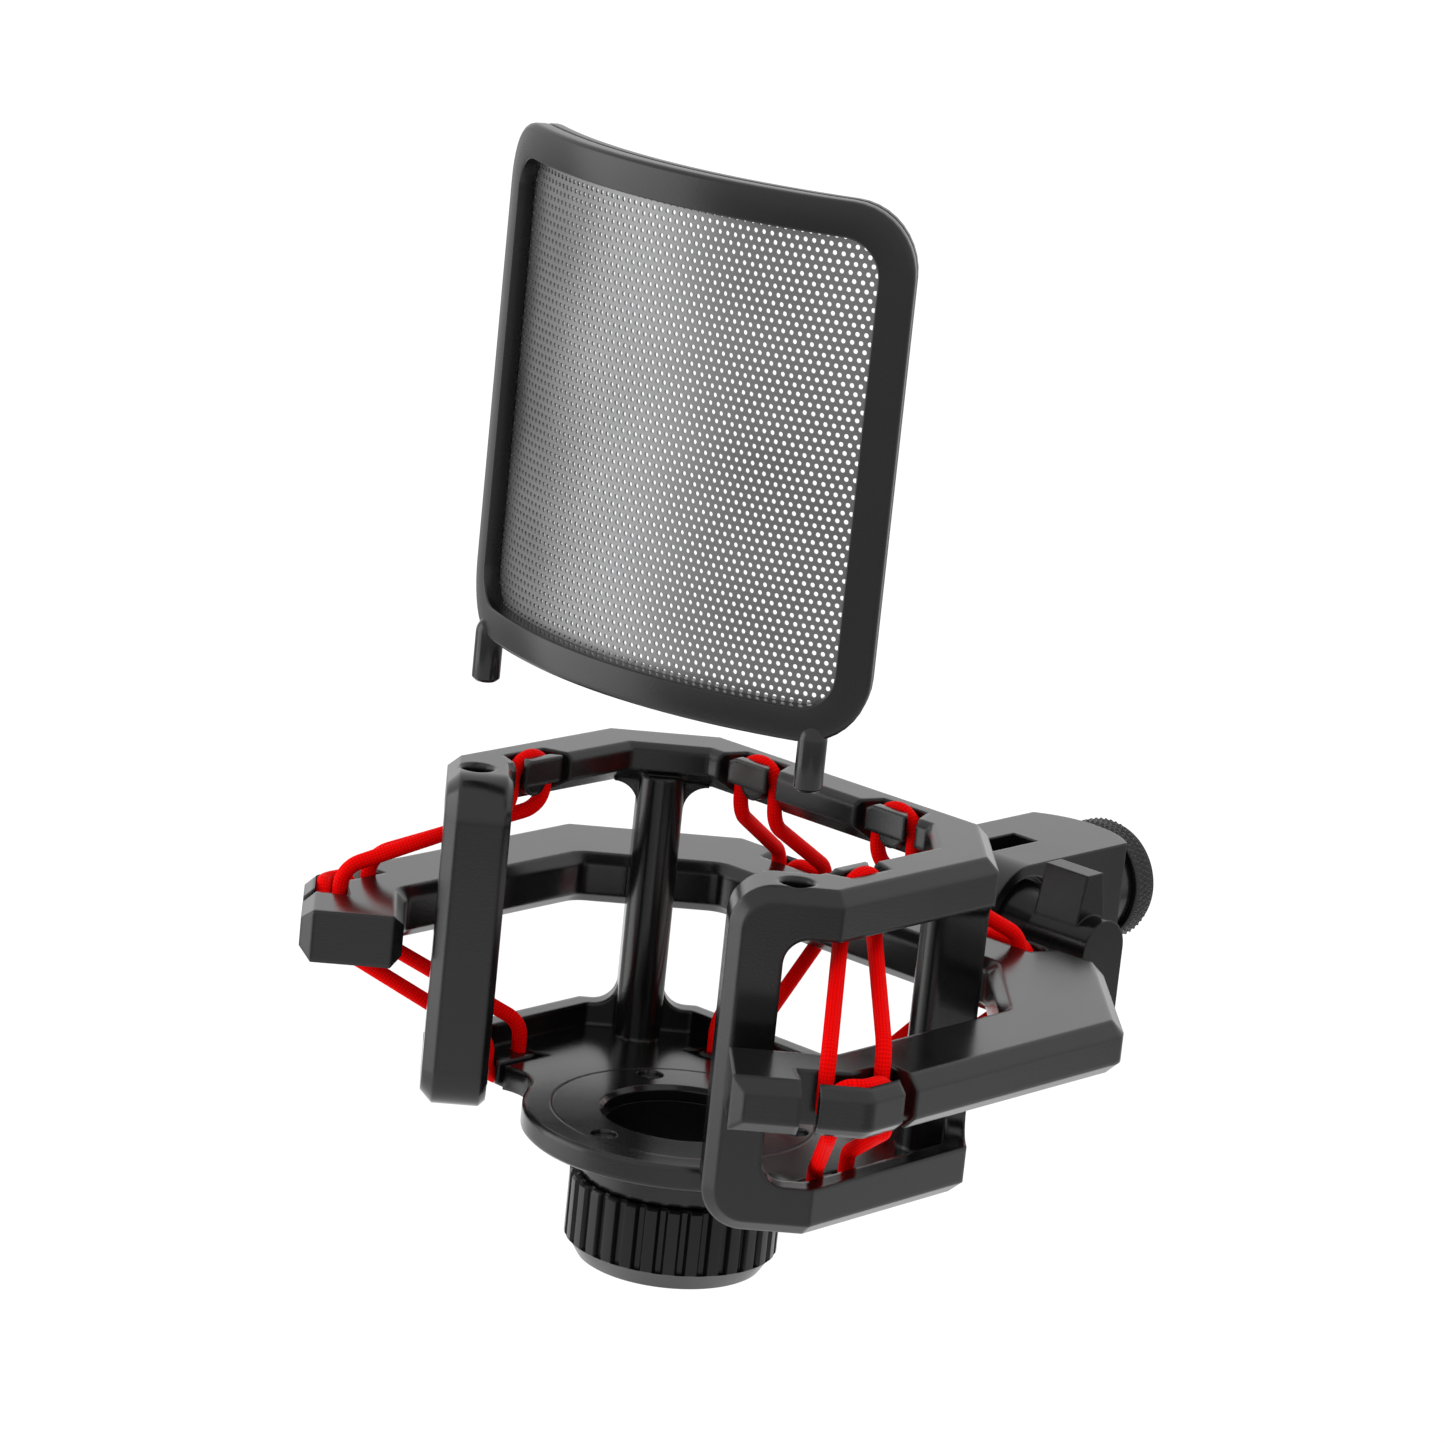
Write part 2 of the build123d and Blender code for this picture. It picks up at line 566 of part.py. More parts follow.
def band_points(kind, sx, upper):
    """Corner points and bend radii of one band, from the cradle tab to the outer tab and back."""
    flip = 1.0 if upper else -1.0
    crest = MID_Z + flip * (TOP_Z - CREST - MID_Z)
    if upper:
        turns = [TOP_Z - RING_H - UPPER_TURNS[kind]] * 2
        entry = MID_Z + FRAME_H / 2.0 + UPPER_ENTRIES[kind]
        ring_turn, entry_turn = (5.0, 5.0) if kind == "bend" else (6.0, 5.0)
    else:
        turns = [BOTTOM_Z + LOWER_RING_H - t for t in LOWER_TURNS[kind]]
        entry = MID_Z - FRAME_H / 2.0 - LOWER_ENTRY
        ring_turn, entry_turn = 4.0, 2.6
    lane = INNER_LANE if upper else OUTER_LANE
    loop = MID_Z - flip * (OUT_NECK_H / 2.0 + CORD_R + 0.06)
    gap_centre = (HEAD_T + SLOT_DEPTH) / 2.0
    if kind == "bend":
        x = sx * (CRADLE["side"][1] + gap_centre)
        near = [(x, TAB_SIDE_Y - CRADLE_STRAND), (x, TAB_SIDE_Y + CRADLE_STRAND)]
    else:
        y = CRADLE["rear"][1] + gap_centre
        near = [(sx * (TAB_REAR_X - CRADLE_STRAND), y), (sx * (TAB_REAR_X + CRADLE_STRAND), y)]
    shift = BEND_SHIFT if kind == "bend" else 0.0
    far = [tab_point(kind, sx, lane, a) for a in (shift - FRAME_STRAND, 0.0, shift + FRAME_STRAND)]
    corners = [
        (near[0], crest, CRADLE_STRAND - 0.02),
        (near[0], turns[0], ring_turn),
        (far[0], entry, entry_turn),
        (far[0], loop, 3.0),
        (far[1], loop, 3.5),
        (far[2], loop, 3.3),
        (far[2], entry, entry_turn),
        (near[1], turns[1], ring_turn),
        (near[1], crest, CRADLE_STRAND - 0.02),
    ]
    if kind == "flat":
        corners.pop(4)
    points = [Vector(p[0], p[1], z) for p, z, _ in corners]
    return points, [r for _, _, r in corners]


# ---------------------------------------------------------------- pop filter

def bent_plate(r_out, r_in, half_width, z0, z1, corner):
    """A plate bent about the filter's axis, with radial ends and rounded corners."""
    half = degrees(half_width / FILTER_R)
    centre_y = FILTER_FRONT_Y + FILTER_R
    section = [Vector(0, centre_y - r, z) for r, z in ((r_out, z0), (r_in, z0), (r_in, z1), (r_out, z1))]
    axis = Axis((0, centre_y, 0), (0, 0, 1))
    plate = Solid.revolve(Face(Wire.make_polygon(section, close=True)), 2.0 * half, axis)
    plate = plate.rotate(axis, -half)
    radial = []
    for edge in plate.edges():
        level = abs((edge @ 0.0).Z - (edge @ 1.0).Z) < 0.01
        if level and edge.geom_type == GeomType.LINE:
            radial.append(edge)
    return plate.fillet(corner, radial)


def build_filter():
    """Front bezel, curved screen, back frame and the two plug-in pins."""
    r1 = FILTER_R - BEZEL_T
    r2 = r1 - MESH_T
    r3 = r2 - BACK_T
    inner_half = FILTER_HALF - BORDER_X
    low, high = FILTER_BOTTOM + BORDER_BOTTOM, FILTER_TOP - BORDER_TOP
    window = bent_plate(FILTER_R + 2.0, r3 - 2.0, inner_half, low, high, WINDOW_CORNER)
    bezel = bent_plate(FILTER_R, r1, FILTER_HALF, FILTER_BOTTOM, FILTER_TOP, FILTER_CORNER)
    centre_y = FILTER_FRONT_Y + FILTER_R
    front_rim = []
    for edge in bezel.edges():
        ends = [edge @ 0.0, edge @ 0.5, edge @ 1.0]
        if all(abs(hypot(p.X, p.Y - centre_y) - FILTER_R) < 0.02 for p in ends):
            front_rim.append(edge)
    bezel = bezel.chamfer(0.6, None, front_rim) - window
    back = bent_plate(r2, r3, FILTER_HALF, FILTER_BOTTOM, FILTER_TOP, FILTER_CORNER) - window
    inset = 3.4
    screen = bent_plate(
        r1, r2, FILTER_HALF - inset, FILTER_BOTTOM + inset, FILTER_TOP - inset, WINDOW_CORNER + 1.0
    )
    pins = []
    for sx in (-1.0, 1.0):
        low_cone = Solid.make_cone(PIN_R - 0.6, PIN_R, 0.6, Plane(origin=(sx * PIN_X, PIN_Y, PIN_BOTTOM)))
        shaft = Solid.make_cylinder(
            PIN_R, PIN_TOP - PIN_BOTTOM - 2.4, Plane(origin=(sx * PIN_X, PIN_Y, PIN_BOTTOM + 0.6))
        )
        top = Solid.make_cone(PIN_R, PIN_R - 1.4, 1.8, Plane(origin=(sx * PIN_X, PIN_Y, PIN_TOP - 1.8)))
        pin = low_cone + shaft + top
        pins.append(pin)
        bezel = bezel - pin
        back = back - pin
        screen = screen - pin
    return bezel, screen, back, pins


# ---------------------------------------------------------------- swivel

def x_plane(x, y=PIVOT_Y, z=MID_Z):
    """A plane looking along +X."""
    return Plane(origin=(x, y, z), z_dir=(1, 0, 0))


def washer_plane(sx):
    """The inner plane of one friction washer, recessed in its clevis cheek."""
    return x_plane(SLOT_X + SLOT_HALF) if sx > 0 else x_plane(SLOT_X - SLOT_HALF - WASHER_T)


def build_swivel():
    """The stand block with its clevis, threaded boss, pivot and clamps."""
    length = BLOCK_REAR - PIVOT_Y
    bar = Pos(0, PIVOT_Y + length / 2.0, MID_Z) * Box(2.0 * BLOCK_HALF, length, 2.0 * BLOCK_HALF_H)
    nose = Solid.make_cylinder(BLOCK_HALF_H, 2.0 * BLOCK_HALF, x_plane(-BLOCK_HALF))
    rear = Solid.make_cylinder(
        BLOCK_REAR_R, 40.0, Plane(origin=(0, BLOCK_REAR - BLOCK_REAR_R, MID_Z - 20.0))
    )
    front_box = Pos(0, BLOCK_REAR - BLOCK_REAR_R - 30.0, MID_Z) * Box(40.0, 60.0, 40.0)
    block = (bar & (rear + front_box)) + nose
    block = block + Solid.make_cylinder(BOSS_R, BOSS_END - 98.0, Plane(origin=(0, 98.0, MID_Z), z_dir=(0, 1, 0)))
    slot_length = SLOT_REAR - (PIVOT_Y - 20.0)
    block = block - Pos(SLOT_X, SLOT_REAR - slot_length / 2.0, MID_Z) * Box(2.0 * SLOT_HALF, slot_length, 40.0)
    block = block - Solid.make_cylinder(PIVOT_R, 60.0, x_plane(-30))
    block = block - Solid.make_cylinder(8.6, 5.0, x_plane(BLOCK_HALF - 1.8))
    block = block - Solid.make_cylinder(5.4, 5.0, x_plane(-BLOCK_HALF - 3.4))
    for sx in (-1.0, 1.0):
        block = block - Solid.make_cylinder(WASHER_R, WASHER_T, washer_plane(sx))
    block = block - Solid.make_cylinder(
        STAND_R, BOSS_END - 94.0 + 1.0, Plane(origin=(0, 94.0, MID_Z), z_dir=(0, 1, 0))
    )
    washers = []
    for sx in (-1.0, 1.0):
        plane = washer_plane(sx)
        washers.append(Solid.make_cylinder(WASHER_R, WASHER_T, plane) - Solid.make_cylinder(PIVOT_R, WASHER_T, plane))
    bolt = Solid.make_cylinder(PIVOT_R, BOLT_END + BLOCK_HALF, x_plane(-BLOCK_HALF))
    head = Solid.make_cylinder(5.2, 3.2, x_plane(-BLOCK_HALF - 1.6))
    socket = Plane(origin=(-BLOCK_HALF - 1.6, PIVOT_Y, MID_Z), z_dir=(1, 0, 0))
    bolt = bolt + head - extrude(socket * RegularPolygon(2.4, 6), 1.8)
    ring_plane = Plane(origin=(0, RING_START, MID_Z), z_dir=(0, 1, 0))
    ring = Solid.make_cylinder(RING_R, RING_END - RING_START, ring_plane)
    ring = ring.chamfer(0.5, None, [e for e in ring.edges() if e.geom_type == GeomType.CIRCLE])
    ring = ring - Solid.make_cylinder(BOSS_R + RUNNING, RING_END - RING_START, ring_plane)
    clip_plane = Plane(origin=(0, BOSS_END, MID_Z), z_dir=(0, 1, 0))
    clip = Solid.make_cylinder(BOSS_R + 0.6, 0.8, clip_plane) - Solid.make_cylinder(STAND_R + 0.3, 0.8, clip_plane)
    return block, washers, bolt, ring, clip


def build_lever():
    """The clamp lever: cone hub, upper wing and lower blade."""
    hub = Solid.make_cone(7.6, 5.5, 6.0, x_plane(BLOCK_HALF - 1.4))
    barrel = Solid.make_cylinder(5.5, LEVER_OUT - BLOCK_HALF - 4.6, x_plane(BLOCK_HALF + 4.6))
    wing_plane = Plane(origin=(15.6, PIVOT_Y, MID_Z), x_dir=(0, 1, 0), z_dir=(1, 0, 0))
    wing_shape = [(-5.6, -5.2), (-5.0, -7.0), (5.0, -7.0), (5.6, -5.2), (2.05, 12.9), (-2.05, 12.9)]
    wing = extrude(wing_plane * Polygon(*wing_shape, align=None), 9.4)
    blade_plane = Plane(origin=(24.4, PIVOT_Y, MID_Z), x_dir=(0, 1, 0), z_dir=(1, 0, 0))
    blade_shape = [(-5.5, 0.0), (-5.5, -13.6), (-3.9, -15.2), (3.9, -15.2), (5.5, -13.6), (5.5, 0.0)]
    blade = extrude(blade_plane * Polygon(*blade_shape, align=None), LEVER_OUT - 24.4)
    lever = hub + barrel + wing + blade
    return lever - Solid.make_cylinder(PIVOT_R + RUNNING, BOLT_END + 0.4 - 5.0, x_plane(5.0))


# ---------------------------------------------------------------- write the parts

os.makedirs("parts", exist_ok=True)

save(build_cradle(), "cradle_frame")
seat, seat_screws = build_seat()
save(seat, "seat_ring")
for index, screw in enumerate(seat_screws):
    save(screw, f"seat_screw_{index + 1}")
save(build_lock_nut(), "lock_nut")
save(build_frame(), "outer_frame")

for kind, sx, _ in frame_tab_specs():
    for upper in (True, False):
        where = ("front" if kind == "bend" else "rear") + ("_left" if sx < 0 else "_right")
        level = "upper" if upper else "lower"
        band, run = cord(*band_points(kind, sx, upper))
        ratio = band.volume / (pi * CORD_R ** 2 * run)
        print(f"band_{level}_{where}: length {run:.1f} mm, volume ratio {ratio:.4f}")
        save(band, f"band_{level}_{where}")

bezel, screen, back, pins = build_filter()
save(bezel, "filter_bezel")
save(screen, "filter_screen")
save(back, "filter_back")
save(pins[0], "filter_pin_left")
save(pins[1], "filter_pin_right")

block, washers, bolt, ring, clip = build_swivel()
save(block, "swivel_block")
save(washers[0], "friction_washer_left")
save(washers[1], "friction_washer_right")
save(bolt, "pivot_bolt")
save(ring, "stand_ring")
save(clip, "ring_clip")
save(build_lever(), "clamp_lever")
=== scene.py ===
from math import asin, cos, pi, radians, sin, sqrt, tan

import bmesh
import bpy
from mathutils import Matrix, Vector


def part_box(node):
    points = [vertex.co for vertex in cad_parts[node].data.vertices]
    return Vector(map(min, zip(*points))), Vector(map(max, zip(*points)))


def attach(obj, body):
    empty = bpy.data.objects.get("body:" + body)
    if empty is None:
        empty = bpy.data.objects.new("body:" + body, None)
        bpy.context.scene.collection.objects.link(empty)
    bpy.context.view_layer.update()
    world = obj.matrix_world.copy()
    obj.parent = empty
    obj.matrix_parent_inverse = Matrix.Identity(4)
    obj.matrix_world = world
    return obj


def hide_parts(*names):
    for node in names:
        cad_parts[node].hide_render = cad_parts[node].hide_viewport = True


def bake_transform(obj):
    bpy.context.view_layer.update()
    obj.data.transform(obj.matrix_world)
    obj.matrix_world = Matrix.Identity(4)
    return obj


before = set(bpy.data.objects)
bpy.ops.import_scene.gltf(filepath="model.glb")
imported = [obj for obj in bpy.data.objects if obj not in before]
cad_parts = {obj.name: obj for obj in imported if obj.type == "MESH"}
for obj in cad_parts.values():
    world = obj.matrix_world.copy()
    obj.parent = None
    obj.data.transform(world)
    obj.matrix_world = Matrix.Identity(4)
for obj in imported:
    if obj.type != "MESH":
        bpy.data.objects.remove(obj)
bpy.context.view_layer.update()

# Microphone shock mount on red elastic bands with a plug-in curved pop filter.
# Sizes are in millimetres in the row's frame and are scaled to metres by make_object.

MM = 0.001
ROOT2 = sqrt(2.0)


def box_mm(node):
    """A CAD node's lowest and highest corners in millimetres."""
    low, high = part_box(node)
    return Vector(low) / MM, Vector(high) / MM


# ------------------------------------------------------------------ materials

SLOW_SCALE = 55.0
GRAIN_SCALE = 2600.0
BEVEL_SAMPLES = 6
BRAID_STRANDS = 8.0
BRAID_PITCH = 1.1
FIBRE_SCALE = 5200.0
# a darker red for the cord in shade and a lit red; the darker one is painted shade in the braid's low parts
CORD_SHADED_AND_LIT_REDS = ((0.62, 0.0012, 0.0010), (0.86, 0.0016, 0.0014))
SHEET_GREYS = ((0.155, 0.155, 0.157), (0.19, 0.19, 0.192))
SHEET_SLOW_SCALE = 40.0
SHEET_GRAIN_SCALE = 3000.0

def new_material(name):
    """A node material with its output, principled shader and links at hand."""
    material = bpy.data.materials.new(name)
    material.use_nodes = True
    nodes = material.node_tree.nodes
    shader = nodes["Principled BSDF"]
    return material, nodes, material.node_tree.links, shader


def coordinates(nodes, kind="Object"):
    """A texture coordinate output."""
    return nodes.new("ShaderNodeTexCoord").outputs[kind]


def noise(nodes, links, vector, scale, detail=3.0, roughness=0.55):
    """A noise texture in object space."""
    node = nodes.new("ShaderNodeTexNoise")
    node.inputs["Scale"].default_value = scale
    node.inputs["Detail"].default_value = detail
    node.inputs["Roughness"].default_value = roughness
    links.new(vector, node.inputs["Vector"])
    return node.outputs["Fac"]


def remap(nodes, links, value, low, high, from_low=0.3, from_high=0.7):
    """A linear map of a value into a range."""
    node = nodes.new("ShaderNodeMapRange")
    node.inputs["From Min"].default_value = from_low
    node.inputs["From Max"].default_value = from_high
    node.inputs["To Min"].default_value = low
    node.inputs["To Max"].default_value = high
    links.new(value, node.inputs["Value"])
    return node.outputs["Result"]


def edge_normal(nodes, radius):
    """Normals softened over sharp edges, as a moulded or tumbled edge catches light."""
    node = nodes.new("ShaderNodeBevel")
    node.samples = BEVEL_SAMPLES
    node.inputs["Radius"].default_value = radius * MM
    return node.outputs["Normal"]


def bump(nodes, links, height, distance, strength=1.0, normal=None):
    """A bump node whose height is in millimetres."""
    node = nodes.new("ShaderNodeBump")
    node.inputs["Strength"].default_value = strength
    node.inputs["Distance"].default_value = distance * MM
    links.new(height, node.inputs["Height"])
    if normal is not None:
        links.new(normal, node.inputs["Normal"])
    return node.outputs["Normal"]


def mix_colour(nodes, links, factor, dark, light):
    """A colour ramp between two colours."""
    node = nodes.new("ShaderNodeValToRGB")
    node.color_ramp.elements[0].position = 0.35
    node.color_ramp.elements[0].color = (*dark, 1.0)
    node.color_ramp.elements[1].position = 0.65
    node.color_ramp.elements[1].color = (*light, 1.0)
    links.new(factor, node.inputs["Fac"])
    return node.outputs["Color"]


def black_finish(name, tone, rough, grain=0.010, edge=0.35, metallic=0.0, ior=1.42):
    """Satin black moulding: fine grain, slow gloss variation and softened edges."""
    material, nodes, links, shader = new_material(name)
    where = coordinates(nodes)
    slow = noise(nodes, links, where, SLOW_SCALE, 4.0)
    fine = noise(nodes, links, where, GRAIN_SCALE, 2.0, 0.7)
    dark = tuple(c * 0.86 for c in tone)
    links.new(mix_colour(nodes, links, slow, dark, tone), shader.inputs["Base Color"])
    links.new(remap(nodes, links, slow, rough - 0.025, rough + 0.03), shader.inputs["Roughness"])
    normal = edge_normal(nodes, edge) if edge else None
    links.new(bump(nodes, links, fine, grain, 1.0, normal), shader.inputs["Normal"])
    shader.inputs["Metallic"].default_value = metallic
    shader.inputs["IOR"].default_value = ior
    return material


def cord_finish(name):
    """Red woven elastic: a crossed braid from the tube's own coordinates; the darker red in the braid's low
    parts is painted shade.
    """
    material, nodes, links, shader = new_material(name)
    split = nodes.new("ShaderNodeSeparateXYZ")
    links.new(coordinates(nodes, "UV"), split.inputs["Vector"])

    def math_node(operation, a, b=None):
        node = nodes.new("ShaderNodeMath")
        node.operation = operation
        for socket, value in zip(node.inputs, (a, b)):
            if value is None:
                continue
            if isinstance(value, (int, float)):
                socket.default_value = value
            else:
                links.new(value, socket)
        return node.outputs[0]

    along, around = split.outputs["X"], split.outputs["Y"]
    turns = math_node("MULTIPLY", around, 2.0 * pi * BRAID_STRANDS)
    run = math_node("MULTIPLY", along, 2.0 * pi)
    left = math_node("SINE", math_node("ADD", run, turns))
    right = math_node("SINE", math_node("SUBTRACT", run, turns))
    weave = math_node("MULTIPLY", left, right)
    height = math_node("ADD", math_node("MULTIPLY", weave, 0.5), 0.5)
    fibre = noise(nodes, links, coordinates(nodes), FIBRE_SCALE, 2.0, 0.7)
    # the braid's low parts take the darker red: painted shade in the weave's grooves
    links.new(mix_colour(nodes, links, height, *CORD_SHADED_AND_LIT_REDS), shader.inputs["Base Color"])
    links.new(remap(nodes, links, fibre, 0.48, 0.66), shader.inputs["Roughness"])
    woven = bump(nodes, links, height, 0.05, 0.8)
    links.new(bump(nodes, links, fibre, 0.012, 0.8, woven), shader.inputs["Normal"])
    shader.inputs["Specular IOR Level"].default_value = 0.02
    return material


def mesh_finish(name):
    """Perforated sheet steel with a grey satin coat."""
    material, nodes, links, shader = new_material(name)
    where = coordinates(nodes)
    slow = noise(nodes, links, where, SHEET_SLOW_SCALE, 3.0)
    fine = noise(nodes, links, where, SHEET_GRAIN_SCALE, 2.0, 0.7)
    links.new(mix_colour(nodes, links, slow, *SHEET_GREYS), shader.inputs["Base Color"])
    links.new(remap(nodes, links, slow, 0.34, 0.41), shader.inputs["Roughness"])
    links.new(bump(nodes, links, fine, 0.006, 0.8), shader.inputs["Normal"])
    shader.inputs["Metallic"].default_value = 0.9
    return material


BODY = black_finish("satin_black_body", (0.0045, 0.0045, 0.0047), rough=0.17, edge=1.0, ior=1.45)
SEAT = black_finish("satin_black_seat", (0.0045, 0.0045, 0.0047), rough=0.16, edge=0.3)
NUT = black_finish("satin_black_nut", (0.004, 0.004, 0.0042), rough=0.24, edge=0.2, ior=1.34)
FILTER = black_finish("satin_black_filter", (0.0055, 0.0055, 0.0057), rough=0.27, grain=0.014, edge=0.0)
SWIVEL = black_finish("satin_black_swivel", (0.0045, 0.0045, 0.0047), rough=0.18, edge=0.6)
LEVER = black_finish("satin_black_lever", (0.0045, 0.0045, 0.0047), rough=0.20, edge=0.5, ior=1.32)
BOLT = black_finish("black_bolt", (0.020, 0.020, 0.021), rough=0.26, metallic=0.6, edge=0.15)
SCREW = black_finish("black_screw", (0.20, 0.20, 0.205), rough=0.24, metallic=0.9, edge=0.08)
PIN = black_finish("black_pin", (0.008, 0.008, 0.0083), rough=0.16, grain=0.004, edge=0.0)
WASHER = black_finish("grey_washer", (0.20, 0.20, 0.205), rough=0.6, grain=0.03, edge=0.15)
CORD = cord_finish("red_braided_elastic")
SCREEN = mesh_finish("grey_perforated_steel")


# ------------------------------------------------------------------ mesh helpers

def make_object(name, mesh_builder, material, smooth_angle=35.0):
    """An object from a bmesh builder that works in millimetres."""
    mesh = bpy.data.meshes.new(name)
    work = bmesh.new()
    mesh_builder(work)
    bmesh.ops.scale(work, vec=(MM, MM, MM), verts=work.verts)
    work.to_mesh(mesh)
    work.free()
    obj = bpy.data.objects.new(name, mesh)
    bpy.context.scene.collection.objects.link(obj)
    mesh.materials.append(material)
    mesh.shade_smooth()
    if smooth_angle:
        mesh.set_sharp_from_angle(angle=radians(smooth_angle))
    return obj


def settle(obj, body, *nodes, slot=None):
    """Ride on a body and stand for CAD nodes; the slot argument is not used."""
    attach(obj, body)
    if nodes:
        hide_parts(*nodes)
    return obj


def bridge_rings(work, rings, closed_rings=True, closed_path=False, flip=False):
    """Quads between successive rings of vertices."""
    count = len(rings[0])
    spans = len(rings) if closed_path else len(rings) - 1
    for i in range(spans):
        a, b = rings[i], rings[(i + 1) % len(rings)]
        for j in range(count if closed_rings else count - 1):
            k = (j + 1) % count
            corners = [a[j], a[k], b[k], b[j]]
            work.faces.new(reversed(corners) if flip else corners)


def lathe(work, profile, segments, centre, axis="Z", radius_at=None):
    """A turned shape: profile is (radius, height) pairs, open at both ends unless radius is 0."""
    rings = []
    for radius, height in profile:
        ring = []
        for j in range(segments):
            angle = 2.0 * pi * j / segments
            r = radius_at(radius, height, angle) if radius_at else radius
            if axis == "Z":
                offset = Vector((r * cos(angle), r * sin(angle), height))
            elif axis == "Y":
                offset = Vector((r * cos(angle), height, -r * sin(angle)))
            else:
                offset = Vector((height, r * cos(angle), r * sin(angle)))
            ring.append(work.verts.new(Vector(centre) + offset))
        rings.append(ring)
    bridge_rings(work, rings)
    return rings


def rounded(corners, radius, steps=4):
    """A polyline with each inner corner turned into an arc; corners are (x, y) pairs or (x, y, r)."""
    points = []
    last = len(corners) - 1
    for i, corner in enumerate(corners):
        here = Vector(corner[:2])
        r = corner[2] if len(corner) > 2 else radius
        if i in (0, last) or r <= 0.0:
            points.append(here)
            continue
        back = (Vector(corners[i - 1][:2]) - here).normalized()
        ahead = (Vector(corners[i + 1][:2]) - here).normalized()
        half = back.angle(ahead) / 2.0
        reach = r / tan(half)
        centre = here + (back + ahead).normalized() * (r / sin(half))
        start, end = here + back * reach - centre, here + ahead * reach - centre
        turn = start.angle_signed(end)
        for k in range(steps + 1):
            arc = start.copy()
            arc.rotate(Matrix.Rotation(-turn * k / steps, 2))
            points.append(centre + arc)
    return points


# ------------------------------------------------------------------ pop filter

FILTER_LOW, FILTER_HIGH = box_mm("filter_bezel")
FACE_R = 77.0
FACE_CENTRE_Y = FILTER_LOW.y + FACE_R
FACE_HALF = FACE_R * asin(FILTER_HIGH.x / FACE_R)
FACE_Z0, FACE_Z1 = FILTER_LOW.z, FILTER_HIGH.z
FACE_CORNER = 11.0
BORDER_SIDE = 5.8
BORDER_TOP = 5.7
BORDER_BOTTOM = 5.5
WINDOW_CORNER = 6.0
BEZEL_DEPTH = 2.8
SHEET_DEPTH = 0.4
BACK_DEPTH = 2.0
PIN_DOME = 2.6
DOME_STEPS = 8
HOLE_PITCH = 1.47
HOLE_ROW = 1.345
HOLE_R = 0.40
HOLE_POINTS = 12
SHEET_INSET = 3.6
SHEET_GAP = 0.02


def on_face(s, z, depth):
    """A point on the bent face: arc length s, height z, depth behind the front surface."""
    angle = s / FACE_R
    r = FACE_R - depth
    return Vector((r * sin(angle), FACE_CENTRE_Y - r * cos(angle), z))


def rounded_loop(half, z0, z1, corner, corner_steps=10, side_steps=22):
    """Points round a rounded rectangle in (s, z), evenly spread and in a fixed order."""
    points = []
    centres = [(half - corner, z0 + corner, -90), (half - corner, z1 - corner, 0),
               (-half + corner, z1 - corner, 90), (-half + corner, z0 + corner, 180)]
    for i, (cs, cz, start) in enumerate(centres):
        for k in range(corner_steps + 1):
            angle = radians(start + 90.0 * k / corner_steps)
            points.append((cs + corner * cos(angle), cz + corner * sin(angle)))
        ns, nz, nstart = centres[(i + 1) % 4]
        a = points[-1]
        b = (ns + corner * cos(radians(nstart)), nz + corner * sin(radians(nstart)))
        for k in range(1, side_steps):
            t = k / side_steps
            points.append((a[0] + (b[0] - a[0]) * t, a[1] + (b[1] - a[1]) * t))
    return points


def frame_ring(work, profile):
    """A closed frame on the bent face; profile is (fraction of the border inward, depth)."""
    outer = rounded_loop(FACE_HALF, FACE_Z0, FACE_Z1, FACE_CORNER)
    inner = rounded_loop(
        FACE_HALF - BORDER_SIDE, FACE_Z0 + BORDER_BOTTOM, FACE_Z1 - BORDER_TOP, WINDOW_CORNER
    )
    rings = []
    for fraction, depth in profile:
        ring = []
        for (so, zo), (si, zi) in zip(outer, inner):
            ring.append(work.verts.new(on_face(so + (si - so) * fraction, zo + (zi - zo) * fraction, depth)))
        rings.append(ring)
    bridge_rings(work, rings, closed_path=True)
    bmesh.ops.recalc_face_normals(work, faces=work.faces)


def bezel_profile(depth0, depth1, outer_round, inner_round):
    """A rounded rectangular section as (fraction, depth) pairs; front rounded, back nearly sharp."""
    width = (BORDER_SIDE + (BORDER_TOP + BORDER_BOTTOM) / 2.0) / 2.0
    corners = [(width / 2.0, depth0), (0.0, depth0, outer_round), (0.0, depth1, 0.25), (width, depth1, 0.2),
               (width, depth0, inner_round), (width / 2.0 + 0.1, depth0)]
    return [(p[0] / width, p[1]) for p in rounded(corners, 0.0, 4)]


def build_bezel(work):
    """The front bezel with a rounded outer edge."""
    frame_ring(work, bezel_profile(0.0, BEZEL_DEPTH, 0.9, 0.35))


def build_back(work):
    """The thinner frame that clamps the screen from behind."""
    start = BEZEL_DEPTH + SHEET_DEPTH
    mid = start + BACK_DEPTH / 2.0
    frame_ring(work, [(f, 2.0 * mid - d) for f, d in bezel_profile(start, start + BACK_DEPTH, 0.6, 0.3)])


